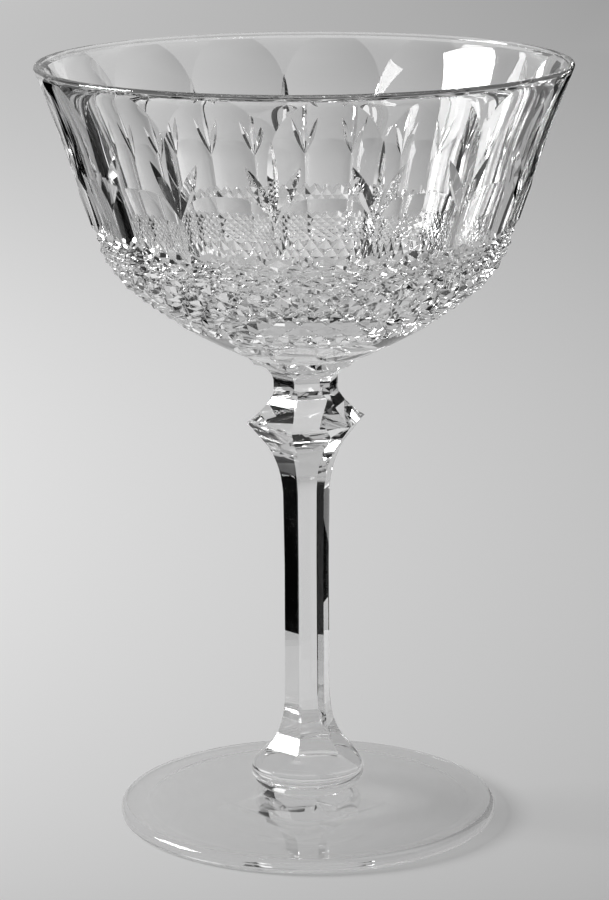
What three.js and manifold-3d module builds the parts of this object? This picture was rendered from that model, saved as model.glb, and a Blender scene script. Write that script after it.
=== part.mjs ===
// A cut crystal sherbet glass: a blown bowl, a drawn stem and a flat foot, fused hot into one glass.
// Millimetres, +Z up, origin on the table under the middle of the foot.
import * as THREE from 'three';
import Module from 'manifold-3d';
import { mergeVertices } from 'three/addons/utils/BufferGeometryUtils.js';

const wasm = await Module();
wasm.setup();

// Driving dimensions of the whole glass
const overallHeight = 146;
const rimDiameter = 100;
const bowlHeight = 55.1;
const footDiameter = 72.6;

// Bowl blank, as it is blown
const weldDiameter = 23.2;
const shoulderDiameter = 78.4;
const shoulderHeight = 21.1;
const lipThickness = 1.3;
const shoulderWall = 3.2;
const wallTaper = 0.45;
const floorThickness = 6;
const insideTurnRise = 2;

// Flutes and arched panels ground round the wall, one of each between two sprays
const sprayCount = 15;
const sprayTurn = -7.1;
const fluteFadeDrop = 12;
const fluteFadeRadius = 64;
const fluteRelief = 0.05;
const fluteWheelRadius = 400;
const archTopDrop = 18.9;
const panelMiddleDrop = 31.5;
const panelRelief = 0.35;
const panelWheelRadius = 75;
const panelRunOut = 4.3;
const panelRunOutRadius = 8;

// Sprays of three leaves cut with a mitred wheel
const sprayBaseDrop = 23.8;
const middleLeafDrop = 8.1;
const sideLeafDrop = 13.1;
const sideLeafSpread = 5;
const leafDepth = 1;
const leafGrooveAngle = 100;

// Band of fine diamonds under the panels
const fineBandDrop = 30.7;
const finePerSection = 4;
const fineRows = 7;
const fineSlope = 30;
const fineGrooveAngle = 114;

// Band of coarse diamonds round the underside
const coarseCount = 36;
const coarseTopDrop = 38.8;
const coarseTurn = 2.9;
const coarseSlope = 48;
const coarseGrooveAngle = 124;
const plainMargin = 13;

// Stem, ground to six sides from a round blank: widths are over the corners, drops run down from the bowl
const stemTurn = -14.1;
const collarBevel = 1.5;
const collarBevelRise = 1.5;
const neckWidth = 12.6;
const neckTopDrop = 4.9;
const neckFootDrop = 7.1;
const beadWidth = 14.6;
const beadDrop = 8.9;
const knopWidth = 23.2;
const knopDrop = 12.7;
const knopFootWidth = 15.2;
const knopFootDrop = 17.4;
const waistWidth = 9.2;
const waistDrop = 26.9;
const shaftWidth = 8.8;
const shaftTopDrop = 40.9;

// Round bulb at the foot of the stem: rises run up from the foot
const bulbDiameter = 21.7;
const bulbWeldDiameter = 16.6;
const bulbRise = 3.3;
const bulbRoundness = 3.5;
const facetEndWidth = 19.2;
const facetEndRise = 6.8;
const shaftFootRise = 20.4;

// Foot
const footEdgeThickness = 2.8;
const footEdgeRadius = 1.3;
const footCrownHeight = 5.6;
const footFlareDiameter = 34;
const footFlareHeight = 4.6;
const footRingWidth = 4;
const footDishDepth = 1.2;

// Roundness of the curved faces
const bowlSides = 60;
const stemSides = 48;
const footSides = 64;
const stemFlats = 6;

// Room left above the glass by a grinding wheel, so that each cut comes out cleanly
const wheelRoom = 0.8;
const outsideReach = 6;
const polish = 0.03;

const bowlFloor = overallHeight - bowlHeight;
const rimRadius = rimDiameter / 2;
const shoulderRadius = shoulderDiameter / 2;
const weldRadius = weldDiameter / 2;
const sectionAngle = (2 * Math.PI) / sprayCount;
const up = new THREE.Vector3(0, 0, 1);
const front = -Math.PI / 2;
const clamp = THREE.MathUtils.clamp;
const lerp = THREE.MathUtils.lerp;
const toRadians = THREE.MathUtils.degToRad;

// Solids

function toSolid(geometry) {
  const bare = geometry.clone();
  bare.deleteAttribute('normal');
  bare.deleteAttribute('uv');
  const merged = mergeVertices(bare, 1e-5);
  const mesh = new wasm.Mesh({
    numProp: 3,
    vertProperties: new Float32Array(merged.attributes.position.array),
    triVerts: new Uint32Array(merged.index.array),
  });
  return new wasm.Manifold(mesh);
}

function toGeometry(solid) {
  const mesh = solid.getMesh();
  const geometry = new THREE.BufferGeometry();
  geometry.setAttribute('position', new THREE.BufferAttribute(mesh.vertProperties, 3));
  geometry.setIndex(new THREE.BufferAttribute(mesh.triVerts, 1));
  return geometry;
}

function closedFromRings(rings) {
  const count = rings[0].length;
  const positions = rings.flat().flatMap((point) => [point.x, point.y, point.z]);
  const index = [];
  for (let ring = 0; ring + 1 < rings.length; ring += 1) {
    for (let side = 0; side < count; side += 1) {
      const a = ring * count + side;
      const b = ring * count + ((side + 1) % count);
      index.push(a, b, b + count, a, b + count, a + count);
    }
  }
  const last = (rings.length - 1) * count;
  for (let side = 1; side + 1 < count; side += 1) {
    index.push(0, side + 1, side, last, last + side, last + side + 1);
  }
  const geometry = new THREE.BufferGeometry();
  geometry.setAttribute('position', new THREE.Float32BufferAttribute(positions, 3));
  geometry.setIndex(index);
  return toSolid(geometry);
}

// A lathe turns its outline about Y, so the turned piece is stood up on Z.
function revolve(outline, sides, turn = 0) {
  const geometry = new THREE.LatheGeometry(outline, sides);
  geometry.rotateX(Math.PI / 2);
  geometry.rotateZ(toRadians(turn));
  return toSolid(geometry);
}

function sample(curve, steps) {
  return curve.getPoints(steps);
}

// Bowl outline: two curves that meet at the shoulder, and their places by height and by length

const shoulder = new THREE.Vector2(shoulderRadius, bowlFloor + shoulderHeight);

const undersideCurve = new THREE.CubicBezierCurve(
  new THREE.Vector2(weldRadius, bowlFloor),
  new THREE.Vector2(weldRadius + 9.6, bowlFloor + 4.1),
  new THREE.Vector2(shoulderRadius - 1.7, shoulder.y - 7),
  shoulder,
);

const wallCurve = new THREE.CubicBezierCurve(
  shoulder,
  new THREE.Vector2(shoulderRadius + 1.7, shoulder.y + 6),
  new THREE.Vector2(rimRadius - 4.7, overallHeight - 13),
  new THREE.Vector2(rimRadius, overallHeight - lipThickness / 2),
);

// The wall thickens from the lip down to the shoulder, quickly at first.
function insidePoint(outside) {
  const drop = overallHeight - lipThickness / 2 - outside.y;
  const growth = clamp(drop / (overallHeight - shoulder.y), 0, 1) ** wallTaper;
  return new THREE.Vector2(outside.x - lerp(lipThickness, shoulderWall, growth), outside.y);
}

const insideWall = sample(wallCurve, 16)
  .reverse()
  .map(insidePoint)
  .filter((point) => point.y > shoulder.y + insideTurnRise);
const insideTurn = insideWall[insideWall.length - 1];
const insideTurnSlope = insideTurn.clone().sub(insideWall[insideWall.length - 2]).normalize();

const insideFloorCurve = new THREE.CubicBezierCurve(
  insideTurn,
  insideTurn.clone().addScaledVector(insideTurnSlope, shoulderHeight * 0.43),
  new THREE.Vector2(weldRadius * 1.7, bowlFloor + floorThickness),
  new THREE.Vector2(0, bowlFloor + floorThickness),
);

const lipCurve = new THREE.EllipseCurve(
  rimRadius - lipThickness / 2,
  overallHeight - lipThickness / 2,
  lipThickness / 2,
  lipThickness / 2,
  0,
  Math.PI,
);

const outerTrack = [...sample(undersideCurve, 80), ...sample(wallCurve, 80).slice(1)];
const trackLength = outerTrack.map(() => 0);
for (let i = 1; i < outerTrack.length; i += 1) {
  trackLength[i] = trackLength[i - 1] + outerTrack[i].distanceTo(outerTrack[i - 1]);
}

function between(values, value) {
  let i = 1;
  while (i < values.length - 1 && values[i] < value) i += 1;
  const share = (value - values[i - 1]) / (values[i] - values[i - 1]);
  return { i, share: clamp(share, 0, 1) };
}

const trackHeights = outerTrack.map((point) => point.y);

function lengthAtHeight(height) {
  const { i, share } = between(trackHeights, height);
  return lerp(trackLength[i - 1], trackLength[i], share);
}

// The blank's radius, height and outward direction at a length along its outline from the weld
function outlineAt(length) {
  const { i, share } = between(trackLength, length);
  const before = outerTrack[i - 1];
  const after = outerTrack[i];
  const along = after.clone().sub(before).normalize();
  const point = before.clone().lerp(after, share);
  return { radius: point.x, height: point.y, outward: new THREE.Vector2(along.y, -along.x) };
}

function blankRadius(height) {
  return outlineAt(lengthAtHeight(height)).radius;
}

// Ground faces of the wall, each described across its own section

const archTop = overallHeight - archTopDrop;
const sprayBase = overallHeight - sprayBaseDrop;
const fineTopLength = lengthAtHeight(overallHeight - fineBandDrop);
const fineStepAngle = sectionAngle / finePerSection / 2;

function fineRowLength(row) {
  const step = Math.tan(toRadians(fineSlope)) * fineStepAngle * shoulderRadius;
  return fineTopLength - row * step;
}

const panelFoot = outlineAt(fineRowLength(fineRows)).height;
const panelMiddle = overallHeight - panelMiddleDrop;
const panelFade = panelFoot + panelRunOut / 2;

function halfChord(height) {
  return blankRadius(height) * Math.sin(sectionAngle / 2);
}

function crown(height, wheelRadius) {
  return halfChord(height) ** 2 / (2 * wheelRadius);
}

// How far a round wheel has come out of the glass, past the place where it starts to leave it
function wheelRise(past, wheelRadius) {
  return Math.max(0, past) ** 2 / (2 * wheelRadius);
}

function fluteDistance(height, across) {
  const flat = (blankRadius(height) - fluteRelief) * Math.cos(sectionAngle / 2);
  const bulge = crown(height, fluteWheelRadius) * (1 - (across / halfChord(height)) ** 2);
  const fadeStart = overallHeight - fluteFadeDrop;
  return flat + bulge + wheelRise(height - fadeStart, fluteFadeRadius);
}

// A panel is deepest at its middle height, and its top comes out through the flute as an arch.
function panelDistance(height, across) {
  const flat = (blankRadius(height) - panelRelief) * Math.cos(sectionAngle / 2);
  const hollow = crown(height, panelWheelRadius) * (1 - (across / halfChord(height)) ** 4);
  const archLift = crown(archTop, panelWheelRadius) + crown(archTop, fluteWheelRadius) + panelRelief;
  const lift = (archLift - fluteRelief) * ((height - panelMiddle) / (archTop - panelMiddle)) ** 2;
  return flat - hollow + lift + wheelRise(panelFade - height, panelRunOutRadius);
}

// Radius of the ground wall in a direction that makes an angle with the middle of its section
function wallRadius(distance, height, angle) {
  const firstAcross = blankRadius(height) * Math.cos(sectionAngle / 2) * Math.tan(angle);
  return distance(height, firstAcross) / Math.cos(angle);
}

function sectionOffset(angle) {
  const turns = angle / sectionAngle;
  return (turns - Math.floor(turns) - 0.5) * sectionAngle;
}

function faceCutter(distance, bottom, top, rows, section) {
  const columns = 4;
  const middle = (section + 0.5) * sectionAngle;
  const rings = [];
  for (let row = 0; row <= rows; row += 1) {
    const height = lerp(bottom, top, row / rows);
    const half = halfChord(height) * 1.12;
    const ring = [];
    for (let column = 0; column <= columns; column += 1) {
      const across = lerp(-half, half, column / columns);
      ring.push(new THREE.Vector3(distance(height, across), across, height));
    }
    const outer = blankRadius(height) + outsideReach;
    ring.push(new THREE.Vector3(outer, half, height), new THREE.Vector3(outer, -half, height));
    rings.push(ring.map((point) => point.applyAxisAngle(up, middle)));
  }
  rings.forEach((ring) => ring.reverse());
  return closedFromRings(rings);
}

// V grooves: each stop on the path has a point on the glass, its outward direction and a depth

function grooveCutter(stops, grooveAngle) {
  const spread = Math.tan(toRadians(grooveAngle / 2));
  const rings = stops.map((stop, i) => {
    const before = stops[Math.max(0, i - 1)].point;
    const after = stops[Math.min(stops.length - 1, i + 1)].point;
    const along = after.clone().sub(before).normalize();
    const side = along.clone().cross(stop.outward).normalize();
    const reach = (stop.depth + wheelRoom) * spread;
    const root = stop.point.clone().addScaledVector(stop.outward, -stop.depth);
    const crest = stop.point.clone().addScaledVector(stop.outward, wheelRoom);
    const left = crest.clone().addScaledVector(side, -reach);
    const right = crest.clone().addScaledVector(side, reach);
    return [root, left, right];
  });
  return closedFromRings(rings);
}

function stopAt(radius, length, angle, depth) {
  const { height, outward } = outlineAt(length);
  const direction = new THREE.Vector3(Math.cos(angle), Math.sin(angle), 0);
  return {
    point: direction.clone().multiplyScalar(radius).setZ(height),
    outward: direction.clone().multiplyScalar(outward.x).setZ(outward.y),
    depth,
  };
}

function leafCutter(section, sideways, tipDrop) {
  const steps = 5;
  const tip = overallHeight - tipDrop;
  const tipAngle = sideways * sideLeafSpread / blankRadius(tip);
  const stops = [];
  for (let step = 0; step <= steps; step += 1) {
    const share = step / steps;
    const height = lerp(sprayBase, tip, share);
    const angle = section * sectionAngle + tipAngle * share;
    const radius = wallRadius(fluteDistance, height, sectionOffset(angle));
    const depth = leafDepth * (1 - (2 * share - 1) ** 2) - 0.02;
    stops.push(stopAt(radius, lengthAtHeight(height), angle, depth));
  }
  return grooveCutter(stops, leafGrooveAngle);
}

function fineCutter(column, direction) {
  const columnAngle = sectionAngle / finePerSection;
  const spacing = columnAngle * shoulderRadius * Math.sin(toRadians(fineSlope));
  const depth = spacing / 2 / Math.tan(toRadians(fineGrooveAngle / 2)) + 0.04;
  const stops = [];
  const last = fineRows + 0.5;
  for (const row of [-0.5, ...Array(fineRows + 1).keys(), last]) {
    const angle = column * columnAngle + direction * row * fineStepAngle;
    const length = fineRowLength(row);
    const { height } = outlineAt(length);
    const ground = wallRadius(panelDistance, height, sectionOffset(angle));
    const radius = Math.min(ground, outlineAt(length).radius);
    const ends = row < 0 || row === last;
    stops.push(stopAt(radius, length, angle, ends ? -0.05 : depth));
  }
  return grooveCutter(stops, fineGrooveAngle);
}

// Crossings of the coarse band step down the underside, each step in proportion to the radius there.
function coarseRowLengths() {
  const stepAngle = Math.PI / coarseCount;
  const rise = Math.tan(toRadians(coarseSlope));
  const lengths = [];
  let length = lengthAtHeight(overallHeight - coarseTopDrop);
  while (length > plainMargin) {
    lengths.push(length);
    length -= outlineAt(length).radius * stepAngle * rise;
  }
  return lengths;
}

function coarseCutter(lengths, column, direction) {
  const stepAngle = Math.PI / coarseCount;
  const rise = Math.tan(toRadians(coarseSlope));
  const stops = [];
  const add = (row, length, scale) => {
    const { radius } = outlineAt(length);
    const angle = column * 2 * stepAngle + direction * row * stepAngle;
    const spacing = 2 * stepAngle * radius * Math.sin(toRadians(coarseSlope));
    const depth = spacing / 2 / Math.tan(toRadians(coarseGrooveAngle / 2)) + 0.04;
    stops.push(stopAt(radius, length, angle, depth * scale));
  };
  const half = (length) => outlineAt(length).radius * stepAngle * rise * 0.5;
  add(-0.5, lengths[0] + half(lengths[0]), -0.05);
  lengths.forEach((length, row) => add(row, length, 1));
  const lastLength = lengths[lengths.length - 1];
  add(lengths.length - 0.5, lastLength - half(lastLength), -0.05);
  return grooveCutter(stops, coarseGrooveAngle);
}

// Turns count from the front of the glass, which faces -Y.
function turned(solid, degrees) {
  return solid.rotate([0, 0, degrees + THREE.MathUtils.radToDeg(front)]);
}

function bowlBlank() {
  const outline = [
    new THREE.Vector2(0, bowlFloor),
    ...sample(undersideCurve, 12),
    ...sample(wallCurve, 8).slice(1),
    ...sample(lipCurve, 4).slice(1, -1),
    ...insideWall,
    ...sample(insideFloorCurve, 8).slice(1),
  ];
  return revolve(outline, bowlSides, sprayTurn);
}

function makeBowl() {
  const cutters = [];
  for (let section = 0; section < sprayCount; section += 1) {
    cutters.push(faceCutter(fluteDistance, sprayBase - 2, overallHeight - lipThickness / 2, 8, section));
    cutters.push(faceCutter(panelDistance, panelFoot - panelRunOut / 2, archTop + 2, 7, section));
    cutters.push(leafCutter(section, 0, middleLeafDrop));
    cutters.push(leafCutter(section, 1, sideLeafDrop));
    cutters.push(leafCutter(section, -1, sideLeafDrop));
  }
  for (let column = 0; column < sprayCount * finePerSection; column += 1) {
    cutters.push(fineCutter(column, 1), fineCutter(column, -1));
  }
  const wallCuts = cutters.map((cutter) => turned(cutter, sprayTurn));
  const lengths = coarseRowLengths();
  for (let column = 0; column < coarseCount; column += 1) {
    wallCuts.push(turned(coarseCutter(lengths, column, 1), coarseTurn));
    wallCuts.push(turned(coarseCutter(lengths, column, -1), coarseTurn));
  }
  return bowlBlank().subtract(wasm.Manifold.union(wallCuts)).asOriginal().simplify(polish);
}

// Stem: a round blank, and the six-sided form that the wheel leaves of it

const weldHeight = bowlFloor;
const bulbMiddle = footCrownHeight + bulbRise;
const bulbRadius = bulbDiameter / 2;
const bulbWeldRadius = bulbWeldDiameter / 2;
const facetEnd = footCrownHeight + facetEndRise;
const shaftFoot = footCrownHeight + shaftFootRise;
const knopHeight = weldHeight - knopDrop;
const clearOfCorners = 1;

function at(radius, height) {
  return new THREE.Vector2(radius, height);
}

function arc(radius, height, roundX, roundY, from, to, steps) {
  const curve = new THREE.EllipseCurve(radius, height, roundX, roundY, toRadians(from), toRadians(to));
  return sample(curve, steps);
}

function stemBlank() {
  const core = bulbRadius - bulbRoundness;
  const outline = [
    at(0, footCrownHeight),
    at(bulbWeldRadius, footCrownHeight),
    ...arc(core, bulbMiddle, bulbRoundness, bulbRise + 0.2, -68, 0, 4),
    ...arc(core, bulbMiddle, bulbRoundness, bulbRoundness, 0, 42, 4).slice(1),
    at(bulbWeldRadius * 0.78, facetEnd + 4.6),
    at(bulbWeldRadius * 0.78, shaftFoot),
    at(knopWidth / 2 + clearOfCorners, knopHeight - knopDrop),
    at(knopWidth / 2 + clearOfCorners, knopHeight + 1),
    at(weldRadius - collarBevel, weldHeight - beadDrop),
    at(weldRadius - collarBevel, weldHeight - collarBevelRise),
    at(weldRadius, weldHeight),
    at(0, weldHeight),
  ];
  return revolve(outline, stemSides);
}

function stemFlatsForm() {
  const neck = neckWidth / 2;
  const bead = beadWidth / 2;
  const knop = knopWidth / 2;
  const knopFoot = knopFootWidth / 2;
  const waist = waistWidth / 2;
  const shaft = shaftWidth / 2;
  const shaftTop = weldHeight - shaftTopDrop;
  const flareWidth = weldRadius + collarBevel * 0.4;
  const bulbRoom = bulbRadius * 1.3;
  const outline = [
    at(0, footCrownHeight - 1),
    at(bulbRoom, footCrownHeight - 1),
    at(bulbRoom, bulbMiddle),
    ...sample(new THREE.CubicBezierCurve(
      at(facetEndWidth / 2, facetEnd),
      at(shaft + 1.2, facetEnd + 3),
      at(shaft + 0.1, facetEnd + 6.6),
      at(shaft + 0.05, shaftFoot),
    ), 7),
    at(shaft, shaftTop),
    ...sample(new THREE.CubicBezierCurve(
      at(waist, weldHeight - waistDrop),
      at(waist + 0.4, weldHeight - waistDrop + 4.6),
      at(knopFoot - 1.6, weldHeight - knopFootDrop - 2.6),
      at(knopFoot, weldHeight - knopFootDrop),
    ), 6),
    at(knop, knopHeight),
    ...sample(new THREE.QuadraticBezierCurve(
      at(knop, knopHeight),
      at(bead + 1.6, knopHeight + 1.7),
      at(bead, weldHeight - beadDrop),
    ), 5).slice(1),
    at(bead - 0.7, weldHeight - beadDrop + 1),
    at(neck, weldHeight - neckFootDrop),
    ...sample(new THREE.QuadraticBezierCurve(
      at(neck, weldHeight - neckTopDrop),
      at(neck + 0.7, weldHeight - collarBevelRise - 0.5),
      at(flareWidth - collarBevel, weldHeight - collarBevelRise),
    ), 5),
    at(flareWidth, weldHeight),
    at(flareWidth, weldHeight + 1),
    at(0, weldHeight + 1),
  ];
  return revolve(outline, stemFlats, stemTurn);
}

function makeStem() {
  return stemBlank().intersect(stemFlatsForm());
}

// Foot: a flat gather spun out to a disc, with a flare that rises to the stem and a dished underside

function makeFoot() {
  const edge = footDiameter / 2;
  const ringInside = edge - footEdgeRadius - footRingWidth;
  const roundTop = footEdgeThickness - footEdgeRadius;
  const flare = footFlareDiameter / 2;
  const outline = [
    at(0, footDishDepth),
    ...sample(new THREE.QuadraticBezierCurve(
      at(ringInside * 0.45, footDishDepth),
      at(ringInside * 0.85, footDishDepth * 0.6),
      at(ringInside, 0),
    ), 4),
    ...arc(edge - footEdgeRadius, footEdgeRadius, footEdgeRadius, footEdgeRadius, -90, 0, 3),
    ...arc(edge - footEdgeRadius, roundTop, footEdgeRadius, footEdgeRadius, 0, 80, 3),
    at(flare, footFlareHeight),
    at((flare + bulbWeldRadius) / 2, footFlareHeight + 0.6),
    at(bulbWeldRadius, footCrownHeight),
    at(0, footCrownHeight),
  ];
  return revolve(outline, footSides);
}

function crystalPiece(name, solid, color) {
  const material = new THREE.MeshStandardMaterial({ color, roughness: 0.03, metalness: 0 });
  material.name = 'crystal';
  const mesh = new THREE.Mesh(toGeometry(solid), material);
  mesh.name = name;
  return mesh;
}

const group = new THREE.Group();
group.add(crystalPiece('bowl', makeBowl(), 0xdfe3e3));
group.add(crystalPiece('stem', makeStem(), 0xd6dadb));
group.add(crystalPiece('foot', makeFoot(), 0xe4e7e7));

export default group;
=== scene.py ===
# %% [markdown]
# # A cut crystal sherbet glass
# The glass is blown, ground and polished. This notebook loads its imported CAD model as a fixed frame,
# then makes the same three pieces again, bowl, stem and foot, with much finer faces. Clear glass shows
# every flaw of its surface twice, once in what it mirrors and once in what it bends, so a mesh that is
# fine enough for a painted cup is far too coarse for crystal.

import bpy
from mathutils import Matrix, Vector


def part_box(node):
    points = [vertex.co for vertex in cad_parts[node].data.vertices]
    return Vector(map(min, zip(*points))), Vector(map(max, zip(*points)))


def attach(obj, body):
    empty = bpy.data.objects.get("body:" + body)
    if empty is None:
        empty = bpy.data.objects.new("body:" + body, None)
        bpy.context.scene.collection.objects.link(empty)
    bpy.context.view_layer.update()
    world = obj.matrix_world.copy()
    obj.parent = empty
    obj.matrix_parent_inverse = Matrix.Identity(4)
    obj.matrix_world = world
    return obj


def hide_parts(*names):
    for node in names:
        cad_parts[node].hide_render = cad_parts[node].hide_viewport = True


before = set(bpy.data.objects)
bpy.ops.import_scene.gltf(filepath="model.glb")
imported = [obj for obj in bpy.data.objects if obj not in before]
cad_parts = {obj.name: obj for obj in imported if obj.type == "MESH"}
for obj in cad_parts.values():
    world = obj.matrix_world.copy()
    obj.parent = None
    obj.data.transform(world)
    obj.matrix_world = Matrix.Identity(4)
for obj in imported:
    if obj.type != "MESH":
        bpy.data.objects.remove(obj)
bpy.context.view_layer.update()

# %% [markdown]
# ## Tools and units
# Blender works in metres and a glass cutter in millimetres, so the shapes are worked out in millimetres
# and scaled once, where a mesh is made. The heights of the seams come from the frame: where the bowl
# starts, where the foot ends and how wide the rim is.

# %% Take the main sizes from the frame
import math

import bmesh
import bpy
import numpy as np
from mathutils import Matrix, Vector

MM = 0.001
NEARLY_ZERO = 1e-6
bowl_low, bowl_high = (np.array(corner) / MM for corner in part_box("bowl"))
foot_low, foot_high = (np.array(corner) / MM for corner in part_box("foot"))
RIM_HEIGHT = bowl_high[2]
RIM_RADIUS = round((bowl_high[0] - bowl_low[0]) / 2, 1)
BOWL_SEAM = bowl_low[2]
FOOT_SEAM = foot_high[2]
FOOT_RADIUS = round((foot_high[0] - foot_low[0]) / 2, 1)
print("rim", RIM_RADIUS, "at", RIM_HEIGHT, "seams", BOWL_SEAM, FOOT_SEAM, "foot", FOOT_RADIUS)

# %% [markdown]
# ## Camera
# A long lens, a little above the rim, looking down by thirteen degrees. The numbers come from fitting
# the ellipses of the rim and the foot: a long focal length keeps them nearly alike. The tiny roll and
# shift only line the frame up with the picture.

# %% Place the camera
FRAME_WIDTH = 609
FRAME_HEIGHT = 900
FOCAL_PIXELS = 3383.1
MIDDLE_PIXEL = 306.1
SENSOR_WIDTH = 36
VIEW_REACH = 20
CAMERA_DISTANCE = 625.4
CAMERA_HEIGHT = 220.1
CAMERA_PITCH = math.radians(13.32)
CAMERA_ROLL = math.radians(-0.32)

camera_data = bpy.data.cameras.new("camera")
camera = bpy.data.objects.new("camera", camera_data)
bpy.context.scene.collection.objects.link(camera)
bpy.context.scene.camera = camera
camera_data.sensor_fit = "HORIZONTAL"
camera_data.sensor_width = SENSOR_WIDTH
camera_data.lens = FOCAL_PIXELS / FRAME_WIDTH * SENSOR_WIDTH
camera_data.shift_x = (FRAME_WIDTH / 2 - MIDDLE_PIXEL) / FRAME_WIDTH
camera_data.clip_end = VIEW_REACH

forward = Vector((0, math.cos(CAMERA_PITCH), -math.sin(CAMERA_PITCH)))
level_up = Vector((0, math.sin(CAMERA_PITCH), math.cos(CAMERA_PITCH)))
level_right = Vector((1, 0, 0))
right = level_right * math.cos(CAMERA_ROLL) + level_up * math.sin(CAMERA_ROLL)
up = level_up * math.cos(CAMERA_ROLL) - level_right * math.sin(CAMERA_ROLL)
camera.matrix_world = Matrix.Translation(
    (0, -CAMERA_DISTANCE * MM, CAMERA_HEIGHT * MM)
) @ Matrix((right, up, -forward)).transposed().to_4x4()
print("lens", round(camera_data.lens, 1), "mm for", FRAME_WIDTH, "by", FRAME_HEIGHT, "pixels")

# %% [markdown]
# ## Curves for an outline
# A glass that is turned on its axis needs only half a drawing: one outline of radius and height. It
# could be traced point by point, but then every bend would need many points to look smooth. Two kinds
# of curve do it with few: a Bezier curve, which leaves and meets its neighbours with a chosen slope,
# and an arc for the rounded edges. Points that fall on each other are dropped where curves meet.

# %% Draw curves and join them
def bezier(*controls, steps):
    share = np.linspace(0, 1, steps + 1)[:, None]
    order = len(controls) - 1
    terms = [
        math.comb(order, i) * (1 - share) ** (order - i) * share**i * np.array(control, float)
        for i, control in enumerate(controls)
    ]
    return sum(terms)


def arc(middle, radii, start, end, steps):
    angles = np.radians(np.linspace(start, end, steps + 1))
    return np.column_stack((
        middle[0] + radii[0] * np.cos(angles),
        middle[1] + radii[1] * np.sin(angles),
    ))


def outline_of(*parts):
    points = np.vstack([np.atleast_2d(np.array(part, float)) for part in parts])
    fresh = [True] + [np.linalg.norm(b - a) > NEARLY_ZERO for a, b in zip(points, points[1:])]
    return points[fresh]


corner_and_arc = outline_of((0, 0), (1, 0), arc((0, 0), (1, 1), 0, 90, steps=2))
print("a corner joined to an arc keeps", len(corner_and_arc), "points out of 5")


# %% [markdown]
# ## Blanks on a lathe
# A gather of glass is round before it is cut. One helper turns an outline round the axis, and shares
# one point where the outline touches the axis. Each face remembers which tool made it, as a whole
# number, so that later each cut can get its own finish and a crisp edge. Blender's Screw modifier could
# turn the outline too. A helper is as short, numbers the faces while it makes them, and can shift their
# columns to where the cuts will be.

# %% Turn outlines into meshes
BLOWN, FLUTE, PANEL, LEAF, FINE, COARSE, FACET, SEAM = range(8)


def make_mesh(name, points, faces, tool=BLOWN):
    mesh = bpy.data.meshes.new(name)
    mesh.from_pydata((np.asarray(points) * MM).tolist(), [], faces)
    made_by = mesh.attributes.new("made_by", "INT", "FACE")
    made_by.data.foreach_set("value", np.full(len(mesh.polygons), tool))
    thing = bpy.data.objects.new(name, mesh)
    bpy.context.scene.collection.objects.link(thing)
    return thing


def around(radius, azimuth, height):
    """A point in millimetres: azimuth in radians counts from the front, -Y, towards the right."""
    return (radius * math.sin(azimuth), -radius * math.cos(azimuth), height)


def lathe(name, outline, columns, turn=0, tool=BLOWN):
    points = []
    rings = []
    for radius, height in outline:
        if radius < NEARLY_ZERO:
            rings.append([len(points)] * columns)
            points.append((0, 0, height))
            continue
        rings.append(list(range(len(points), len(points) + columns)))
        points += [around(radius, turn + 2 * math.pi * c / columns, height) for c in range(columns)]
    faces = []
    for lower, upper in zip(rings, rings[1:]):
        for c in range(columns):
            corners = (lower[c], lower[(c + 1) % columns], upper[(c + 1) % columns], upper[c])
            faces.append(tuple(dict.fromkeys(corners)))
    return make_mesh(name, points, faces, tool)


print("a quarter turn to the right of the front is", [round(v, 3) for v in around(1, math.pi / 2, 0)])


# %% [markdown]
# ## The bowl's blank
# The wall rises from the seam, rounds over the shoulder and flares to a thin, fire polished lip. Inside
# it is thicker at the shoulder, because the cutter needs glass to cut into. Two curves for the outside
# and two for the inside are enough, and they meet with one slope so that no line shows.

# %% Draw the outside of the bowl
SEAM_RADIUS = 11.6
SHOULDER_RADIUS = 39.2
SHOULDER_HEIGHT = BOWL_SEAM + 21.1
LIP = 1.3
# How far the curves' control points lie from their ends, outward and upward in millimetres.
LEAVE_SEAM = (9.6, 4.1)
MEET_SHOULDER = (1.7, 7)
LEAVE_SHOULDER = (1.7, 6)
MEET_RIM = (4.7, 13)

underside = bezier(
    (SEAM_RADIUS, BOWL_SEAM),
    (SEAM_RADIUS + LEAVE_SEAM[0], BOWL_SEAM + LEAVE_SEAM[1]),
    (SHOULDER_RADIUS - MEET_SHOULDER[0], SHOULDER_HEIGHT - MEET_SHOULDER[1]),
    (SHOULDER_RADIUS, SHOULDER_HEIGHT),
    steps=90,
)
wall = bezier(
    (SHOULDER_RADIUS, SHOULDER_HEIGHT),
    (SHOULDER_RADIUS + LEAVE_SHOULDER[0], SHOULDER_HEIGHT + LEAVE_SHOULDER[1]),
    (RIM_RADIUS - MEET_RIM[0], RIM_HEIGHT - MEET_RIM[1]),
    (RIM_RADIUS, RIM_HEIGHT - LIP / 2),
    steps=90,
)
lip = arc((RIM_RADIUS - LIP / 2, RIM_HEIGHT - LIP / 2), (LIP / 2, LIP / 2), 0, 180, steps=16)
print("shoulder at", round(SHOULDER_HEIGHT, 1), "mm, radius", SHOULDER_RADIUS, "lip", LIP, "mm")

# %% Draw the inside of the bowl
SHOULDER_WALL = 2.8
WALL_TAPER = 0.2
# The inside follows the outside down to this height, and one curve closes it to the middle of the floor.
INSIDE_TURN = SHOULDER_HEIGHT + 2
LEAVE_TURN = 9.1
FLOOR_HEIGHT = BOWL_SEAM + 6
FLOOR_REACH = 1.7 * SEAM_RADIUS

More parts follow.
